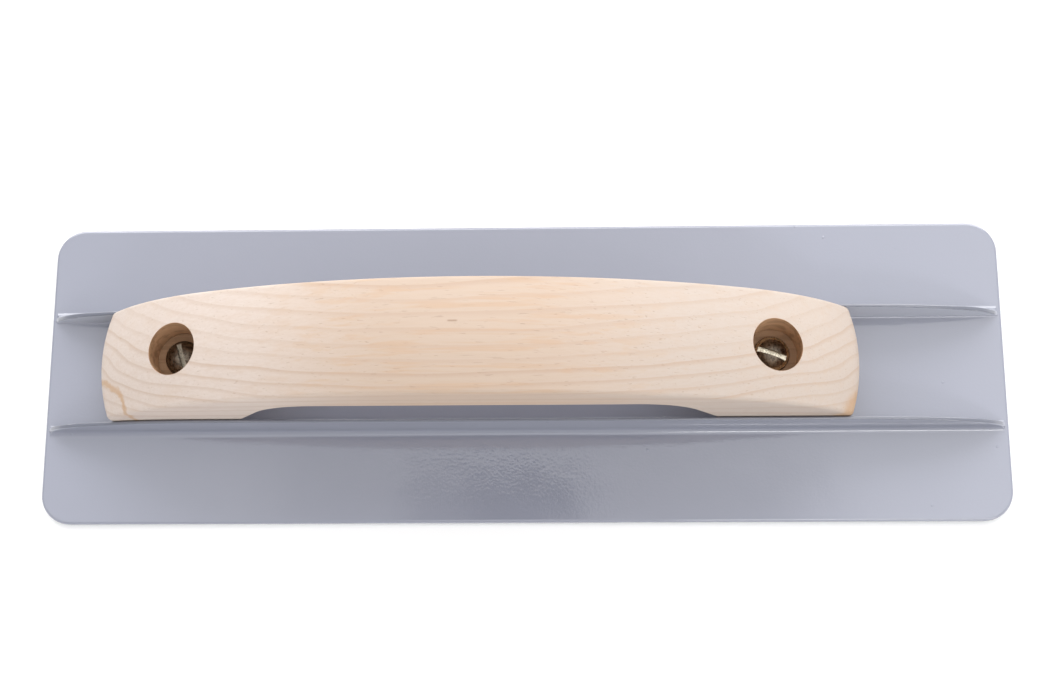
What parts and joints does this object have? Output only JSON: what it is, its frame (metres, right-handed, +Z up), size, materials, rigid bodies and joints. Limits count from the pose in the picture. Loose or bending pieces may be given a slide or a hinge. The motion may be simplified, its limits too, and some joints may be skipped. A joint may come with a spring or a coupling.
{
  "type": "hand float",
  "caption": "Concrete finishing float: flat painted metal blade with two stiffening ribs and an arched wooden handle screwed down between them.",
  "frame": {"origin": "middle of the blade's flat working face, which the tool stands on", "axes": "+X along the blade's length, +Y across its width, +Z up through the handle"},
  "size_m": [0.3048, 0.096, 0.0622],
  "materials": {
    "blade_paint": "glossy grey paint with orange peel",
    "handle_wood": "bare sanded wood, fine grain",
    "screw_steel": "dark bronze oxide, worn bright in the slot"
  },
  "bodies": {
    "root": {"float_blade": "blade_paint", "handle": "handle_wood", "handle_screws": "screw_steel"}
  },
  "joints": []
}
